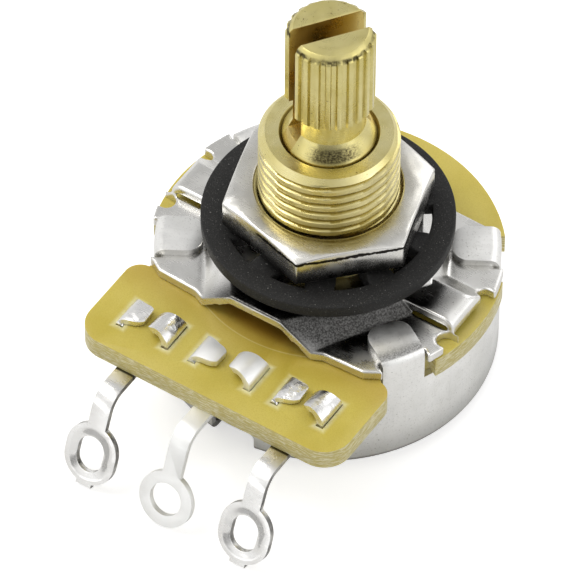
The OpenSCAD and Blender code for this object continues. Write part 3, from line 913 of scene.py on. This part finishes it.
@dataclass
class BushingSet:
    """Threaded bushing, hexagonal nut and lock washer."""

    major: float = 4.7625
    pitch: float = 25.4 / 32
    depth: float = 0.46
    flange_height: float = 0.8
    flange_edge: float = 0.2
    lead_chamfer: float = 0.45
    chamfer_steps: int = 6
    bore: float = 3.2
    bore_chamfer: float = 0.19
    rows_per_pitch: int = 14
    steps: int = 144
    nut_edge: float = 0.14
    teeth: int = 10
    tooth_width: float = 1.9
    twist_deg: float = 38.0
    first_tooth_deg: float = 10.0
    washer_sheet: float = 1.0
    washer_edge: float = 0.12
    tooth_root: float = 7.0
    tooth_tip: float = 5.06

    def section(self, flange_r: float, base: float, top: float) -> list[Pair]:
        """Half section of the bushing before its thread is cut.

        Args:
            flange_r: radius of the flange.
            base: height of its underside.
            top: height of the mouth.

        Returns:
            Points (radius, height), counter-clockwise.
        """
        shoulder, thread_top = base + self.flange_height, top - self.lead_chamfer
        length = thread_top - shoulder
        rows = int(length / self.pitch * self.rows_per_pitch)
        points = [(self.bore, base), (flange_r - self.flange_edge, base), (flange_r, base + self.flange_edge),
                  (flange_r, shoulder)]
        points += [(self.major, shoulder + length * i / rows) for i in range(rows + 1)]
        cuts = [self.lead_chamfer * i / self.chamfer_steps for i in range(1, self.chamfer_steps + 1)]
        points += [(self.major - cut, thread_top + cut) for cut in cuts]
        return points + [(self.bore + self.bore_chamfer, top), (self.bore, top - self.bore_chamfer)]

    def bushing(self) -> None:
        """The brass bushing: flange, thread and chamfered mouth."""
        low, high = node_box("bushing")
        section = self.section(high.x, low.z, high.z)
        thing = piece_from("bushing_threaded", lambda bm: turned(bm, section, self.steps))
        s = BRASS.build()
        top, rim = high.z, self.bore + self.bore_chamfer
        outside = s.product(s.ramp(s.radius, 4.1, 4.2), s.ramp(s.z, top - 0.62, top - 0.5, 1.0, 0.0))
        s.tint(StainOrPaintedLight.OLD_BRASS, outside, 0.40)
        # Painted shade: dark brown in the roots of the thread.
        s.tint(StainOrPaintedLight.THREAD_GROOVE_SHADE, outside,
               s.ramp(s.radius, self.major - self.depth * 0.95, self.major - 0.12, 0.85, 0.0))
        # Painted shade: a dark brown ring at the mouth of the bore and down its wall.
        s.tint(StainOrPaintedLight.BORE_MOUTH_SHADE, s.ramp(s.radius, rim - 0.06, rim + 0.01, 0.75, 0.0), s.ramp(s.z, top - 1.0, top - 0.8))
        s.relief(s.fine_noise(0.06), 0.0065)
        thread_tree().run(thing, {"Major Radius": self.major, "Depth": self.depth, "Pitch": self.pitch,
                                  "Bottom": low.z + self.flange_height + 0.05, "Top": top - 0.001},
                          {"Material": s.material})
        smooth(thing, 40.0)
        finish_piece(thing, s, "bushing")

    def nut(self) -> None:
        """The hexagonal nut with broken edges."""
        thing = cad_copy("hex_nut", "plated")
        round_edges(thing, self.nut_edge, 4)
        s = NUT_NICKEL.build()
        top = node_box("hex_nut")[1].z
        ragged = s.total(s.z, s.product(s.noise(1100.0, 3.0, 0.7), 0.55 * MM))
        side = s.step(s.facing_up, 0.25, 0.5, 1.0, 0.0)
        # Painted reflection of the brass bushing on the top face, stronger at the front.
        s.tint(StainOrPaintedLight.BRASS_GLINT, s.ramp(s.radius, 4.8, 6.9, 0.90, 0.0), s.ramp(s.forward, 1.0, 5.0, 0.35, 1.0),
               s.step(s.facing_up, 0.7, 0.9))
        # Painted reflection of the black washer on the lower part of the sides.
        s.tint(StainOrPaintedLight.NUT_SIDE_REFLECTION, s.ramp(ragged, top - 1.9, top - 0.85, 0.88, 0.0), side)
        # A thin dark ragged line on the sides just under the top edge.
        s.tint(StainOrPaintedLight.NUT_LINE, s.span(ragged, (top - 0.40, top - 0.34, top - 0.12, top - 0.06)), side,
               s.step(s.noise(300.0, 1.0), 0.34, 0.42))
        finish_piece(thing, s, "hex_nut")

    def washer(self) -> None:
        """The blackened lock washer with its twisted teeth."""
        low, high = node_box("lock_washer")
        s = BLACK.build()
        thing = piece_from("lock_washer_black", lambda bm: None)
        toothed_ring_tree().run(
            thing, {"Outer Radius": high.x, "Root Radius": self.tooth_root, "Tip Radius": self.tooth_tip,
                    "Thickness": self.washer_sheet, "Tooth Width": self.tooth_width,
                    "Level": (low.z + high.z) / 2, "Edge Radius": self.washer_edge},
            {"Twist": math.radians(self.twist_deg), "First Angle": math.radians(self.first_tooth_deg),
             "Teeth": self.teeth, "Material": s.material})
        smooth(thing, 45.0)
        finish_piece(thing, s, "lock_washer")

    def build(self) -> None:
        """Make all of it."""
        self.bushing()
        self.nut()
        self.washer()


class Curl(Enum):
    """How a claw was pressed down."""

    ARCHED = (152.0, 0.62, 0.20)
    FLAT = (112.0, 0.30, 0.06)


@dataclass(frozen=True)
class Claw:
    """One claw of a terminal, curled over the wafer.

    Lengths are millimetres. The claw leaves its slot at foot_x and curls towards the terminal's middle.
    """

    foot_x: float
    side: int
    reach: float
    curl: Curl
    sway: float
    thickness: float = 0.50
    foot_width: float = 2.42
    tip_width: float = 1.45
    steps: int = 26
    wafer_top: float = 8.65
    root_z: float = 8.2

    def centre_line(self) -> list[Vector]:
        """Points from inside the slot to the claw's tip.

        Returns:
            The points.
        """
        turn, height, rise = self.curl.value
        sweep = self.reach / (1.0 - math.cos(math.radians(turn)))
        points = [Vector((self.foot_x, CLAW_ROW_Y, self.root_z))]
        for i in range(self.steps + 1):
            angle = math.radians(turn) * i / self.steps
            points.append(Vector((self.foot_x - self.side * sweep * (1.0 - math.cos(angle)),
                                  CLAW_ROW_Y + self.sway * (i / self.steps) ** 2,
                                  self.wafer_top + rise + height * math.sin(angle))))
        return points

    def build(self, bm: Mesh) -> None:
        """Add the claw to a mesh in millimetres.

        Args:
            bm: the mesh.
        """
        path = self.centre_line()
        across = []
        for i in range(len(path)):
            along = i / (len(path) - 1)
            half = (self.foot_width + (self.tip_width - self.foot_width) * along) / 2
            # The last fifth narrows to a rounded tip.
            half *= math.sqrt(1.0 - 0.45 * max(0.0, (along - 0.82) / 0.18) ** 2)
            tilt = self.sway * 0.35 * along
            ragged = 0.03 * math.sin(9.0 * along + self.foot_x)
            across.append((Vector((0.0, half + ragged, tilt)), Vector((0.0, -half + ragged, -tilt))))
        if self.side > 0:
            across = [(b, a) for a, b in across]
        ribbon(bm, path, across, self.thickness)


@dataclass
class Terminals:
    """The three tinned terminals: CAD leads and eyelets, with claws curled one by one."""

    edge: float = 0.09
    cut_z: float = 8.35
    lead_slope: float = 68.0
    eyelet_y: float = -19.385
    eyelet_z: float = 2.552
    eyelet_oval: float = 0.35
    eyelet_r: Pair = (0.95, 1.70)
    eyelet_dish: float = 0.34
    leads_out_y: float = -15.4
    foot_x: Triple = (1.81, 2.21, 1.81)
    reach: tuple[Pair, ...] = ((1.45, 1.42), (1.72, 1.66), (1.45, 1.42))
    sway: tuple[Pair, ...] = ((0.22, -0.10), (-0.12, 0.08), (0.26, -0.06))

    def curl_claws(self, thing: Thing, index: int) -> None:
        """Cut a terminal's straight claws off inside the wafer, and add two curled ones.

        Args:
            thing: copy of the terminal.
            index: 0, 1 or 2 from left to right.
        """
        with editing(thing) as bm:
            cut = bmesh.ops.bisect_plane(bm, geom=bm.verts[:] + bm.edges[:] + bm.faces[:], clear_outer=True,
                                         plane_co=(0.0, 0.0, self.cut_z * MM), plane_no=(0.0, 0.0, 1.0))
            bmesh.ops.holes_fill(bm, edges=[e for e in cut["geom_cut"] if isinstance(e, bmesh.types.BMEdge)])
        bm = bmesh.new()
        for k, (side, curl) in enumerate(((-1, Curl.FLAT), (1, Curl.ARCHED))):
            foot_x = (index - 1) * TERMINAL_PITCH + side * self.foot_x[index]
            Claw(foot_x, side, self.reach[index][k], curl, self.sway[index][k]).build(bm)
        bmesh.ops.scale(bm, vec=(MM, MM, MM), verts=bm.verts)
        bm.from_mesh(thing.data)
        bm.to_mesh(thing.data)
        bm.free()

    def bright_tin(self) -> Surface:
        """Bright tin with painted shade on its side faces, dented claws, dished eyelets, and a painted reflection of
        the wafer and a painted shadow on the leads where they leave it.

        Returns:
            The surface.
        """
        s = TIN.build()
        # Painted shade on the side faces of the leads below the wafer.
        s.tint(StainOrPaintedLight.SIDE_FACE_SHADE, s.step(s.math("ABSOLUTE", s.normal[0]), 0.35, 0.75),
               s.ramp(s.z, 7.0, 7.3, 0.85, 0.0), s.step(s.noise(900.0, 2.0), 0.35, 0.6, 0.5, 1.0))
        slope = math.radians(self.lead_slope)
        along = s.total(s.product(s.math("SUBTRACT", s.y, self.eyelet_y * MM), math.cos(slope)),
                        s.product(s.math("SUBTRACT", s.z, self.eyelet_z * MM), math.sin(slope)))
        past = s.math("MAXIMUM", s.beyond(along, 0.0, self.eyelet_oval), 0.0)
        s.relief(s.ramp(s.distance(s.beyond(s.x, 0.0, TERMINAL_PITCH), past), *self.eyelet_r), self.eyelet_dish)
        s.relief(s.fine_noise(0.75), 0.022)
        claws = s.ramp(s.z, Claw.wafer_top + 0.01, Claw.wafer_top + 0.11)
        s.relief(s.product(s.fine_noise(0.42, rough=0.4), claws), 0.045)
        # Painted reflection of the yellow wafer, then a painted shadow, where the leads leave the wafer.
        for overlay, length, strength in ((StainOrPaintedLight.WAFER_REFLECTION_ON_LEADS, 1.5, 0.55), (StainOrPaintedLight.LEAD_SHADOW, 0.1, 0.85)):
            s.tint(overlay, s.span(s.y, [self.leads_out_y + away for away in (-length, 0.0, 0.2, 0.3)]), strength)
        return s

    def build(self) -> None:
        """Make the three terminals."""
        bright, matt = self.bright_tin(), MATT_TIN.build()
        for index, (side, tin) in enumerate((("left", bright), ("middle", matt), ("right", bright))):
            thing = cad_copy(f"terminal_{side}", "tinned")
            self.curl_claws(thing, index)
            round_edges(thing, self.edge)
            finish_piece(thing, tin, f"terminal_{side}")


@dataclass
class Rotor:
    """The shaft and what turns with it."""

    edge: float = 0.05
    slot_w: float = 1.5
    slot_deg: float = 54.0
    slot_floor_z: float = 20.2
    cone_z: tuple[float, ...] = (20.75, 20.95, 21.5, 21.9)

    def shaft(self) -> None:
        """The splined and split shaft."""
        thing = cad_copy("shaft", "splined")
        round_edges(thing, self.edge, 2)
        s = SHAFT_BRASS.build()
        turn, half, floor = math.radians(self.slot_deg), self.slot_w / 2, self.slot_floor_z
        off = s.math("ABSOLUTE", s.total(s.product(s.x, -math.sin(turn)), s.product(s.y, math.cos(turn))))
        # Painted shade and painted reflection: the walls of the split darkened brown.
        s.tint(StainOrPaintedLight.SLOT_WALL_SHADE, s.ramp(off, half + 0.02, half + 0.05, 0.62, 0.0), s.ramp(s.z, floor, floor + 0.2))
        top = node_box("shaft")[1].z
        # Painted shade: dark grainy spots at the tops of the spline grooves, under the burrs.
        s.tint(StainOrPaintedLight.BURR_SHADE, s.span(s.radius, (2.62, 2.72, 2.86, 2.93)),
               s.span(s.z, (top - 0.85, top - 0.6, top - 0.32, top - 0.16)),
               s.step(s.noise(1400.0, 3.0, 0.7), 0.35, 0.6, 0.2, 0.9))
        # Painted reflection: a dark grainy patch on the front of the cone.
        s.tint(StainOrPaintedLight.CONE, s.span(s.azimuth, (-95.0, -70.0, -30.0, 0.0), math.radians(1.0)),
               s.span(s.z, self.cone_z), s.grain(0.13, 0.38, 0.58, 0.35, 0.95, 4.0, 0.75))
        finish_piece(thing, s, "shaft", "rotor")

    def build(self) -> None:
        """Make all of it."""
        self.shaft()
        dress(STEEL.build(), "thrust_washer", "retaining_ring", "stop_plate")
        dress(PHENOLIC.build(), "rotor_disc")
        dress(BRONZE.build(), "contact_spring")


@dataclass(frozen=True)
class Zone:
    """A side of the room whose level, as reflections see it, changes as a direction nears it."""

    side: Triple
    nearness: Pair
    level: Pair


@dataclass
class Studio:
    """Camera, floor, world and lamps."""

    azimuth: float = 32.97
    elevation: float = 49.02
    roll: float = 0.47
    distance: float = 520.0
    focal_px: float = 7719.95
    picture_px: float = 576.0
    aim: Triple = (0.0, 0.0, 11.2)
    aim_px: Pair = (328.13, 225.76)
    ambient: float = 0.55
    floor_z: float = -0.02
    floor_size: float = 900.0
    zones: tuple[Zone, ...] = (
        Zone((-0.357, 0.550, 0.755), (0.62, 0.96), (0.92, 0.60)),
        Zone((0.54, -0.83, 0.12), (0.72, 0.95), (0.0, -0.62)),
        Zone((-0.32, -0.93, 0.17), (0.90, 0.98), (0.0, 0.75)),
        Zone((0.97, 0.17, 0.17), (0.88, 0.98), (0.0, 0.60)),
    )

    def axes(self) -> tuple[Vector, Vector, Vector]:
        """The camera's right, up and backward directions.

        Returns:
            The three directions.
        """
        a, e, r = (math.radians(v) for v in (self.azimuth, self.elevation, self.roll))
        back = Vector((math.sin(a) * math.cos(e), -math.cos(a) * math.cos(e), math.sin(e)))
        right = Vector((math.cos(a), math.sin(a), 0.0))
        up = back.cross(right)
        return (right * math.cos(r) + up * math.sin(r), up * math.cos(r) - right * math.sin(r), back)

    def camera(self) -> None:
        """A long lens at the photograph's angle."""
        right, up, back = self.axes()
        half = self.picture_px / 2
        off_x = (self.aim_px[0] - half) * self.distance / self.focal_px
        off_y = (half - self.aim_px[1]) * self.distance / self.focal_px
        eye = Vector(self.aim) + back * self.distance - right * off_x - up * off_y
        data = bpy.data.cameras.new("camera")
        data.sensor_width = 36.0
        data.lens = self.focal_px / self.picture_px * data.sensor_width
        data.clip_start = 0.01
        data.clip_end = 10.0
        turn = Matrix((right, up, back)).transposed().to_4x4()
        bpy.context.scene.camera = placed("camera", data, Matrix.Translation(eye * MM) @ turn)

    def lamp(self, name: str, place: Sequence[float], size: float, watts: float, colour: Colour) -> None:
        """A soft square lamp that looks at the part.

        Args:
            name: the lamp's name.
            place: where it is, in millimetres.
            size: its width in millimetres.
            watts: its power.
            colour: its colour.
        """
        data = bpy.data.lights.new(name, "AREA")
        data.shape = "SQUARE"
        data.size = size * MM
        data.energy = watts
        data.color = colour
        spot = Vector(place)
        look = (spot - Vector(self.aim)).to_track_quat("Z", "Y").to_matrix().to_4x4()
        placed(name, data, Matrix.Translation(spot * MM) @ look)

    def world(self) -> None:
        """White to the eye; reflections see a pale room with a dimmer ceiling behind the part."""
        world = bpy.data.worlds.new("studio")
        world.use_nodes = True
        bpy.context.scene.world = world
        world.node_tree.nodes.clear()
        n = Nodes(world.node_tree)
        way = n.add("ShaderNodeTexCoord").outputs["Generated"]
        ray = n.add("ShaderNodeLightPath").outputs
        patches = n.out("ShaderNodeTexNoise", {"Vector": way, "Scale": 2.2, "Detail": 1.0})
        room = n.out("ShaderNodeMapRange", {0: patches, 1: 0.40, 2: 0.60, 3: -0.10, 4: 0.10})
        for zone in self.zones:
            near = n.add("ShaderNodeVectorMath", {0: way, 1: zone.side}, operation="DOT_PRODUCT").outputs["Value"]
            room = n.total(room, n.step(near, *zone.nearness, *zone.level))
        seen = n.out("ShaderNodeMix", {0: ray["Is Camera Ray"], 2: room, 3: 1.0}, data_type="FLOAT")
        direct = n.math("MAXIMUM", ray["Is Camera Ray"], ray["Is Glossy Ray"], ray["Is Transmission Ray"])
        level = n.out("ShaderNodeMix", {0: direct, 2: self.ambient, 3: seen}, data_type="FLOAT")
        shown = n.out("ShaderNodeBackground", {"Color": WHITE, "Strength": level})
        n.feed(n.add("ShaderNodeOutputWorld").inputs[0], shown)

    def floor(self) -> None:
        """A pale floor that keeps the part's shadow and is clear from below."""
        place = Matrix.Translation((0.0, 0.0, self.floor_z))
        floor = piece_from("floor", lambda bm: bmesh.ops.create_grid(
            bm, x_segments=1, y_segments=1, size=self.floor_size, matrix=place))
        s = Surface("pale_floor")
        ray = s.add("ShaderNodeLightPath").outputs
        seen = s.total(ray["Is Camera Ray"], s.product(ray["Is Glossy Ray"], 0.22))
        back = s.add("ShaderNodeNewGeometry").outputs["Backfacing"]
        s.set({"Base Color": (0.86, 0.86, 0.86), "Roughness": 0.9, "Specular IOR Level": 0.1,
               "Emission Color": WHITE, "Emission Strength": s.product(seen, 0.55),
               "Alpha": s.math("SUBTRACT", 1.0, back)})
        s.coat(floor.data)

    def build(self) -> None:
        """Set up the whole studio."""
        bpy.context.scene.view_settings.view_transform = "Standard"
        self.camera()
        self.world()
        self.floor()
        self.lamp("key", (-160.0, -60.0, 300.0), 180.0, 0.42, (1.0, 0.985, 0.96))
        self.lamp("fill", (300.0, 60.0, 140.0), 340.0, 0.16, (0.97, 0.985, 1.0))
        self.lamp("back", (30.0, 300.0, 220.0), 220.0, 0.18, WHITE)


def main() -> None:
    """Build the scene."""
    logging.basicConfig(level=logging.INFO, format="%(name)s %(message)s")
    Studio().build()
    Housing().build()
    BushingSet().build()
    Terminals().build()
    Rotor().build()
    bpy.context.view_layer.update()


if __name__ == "__main__":
    main()
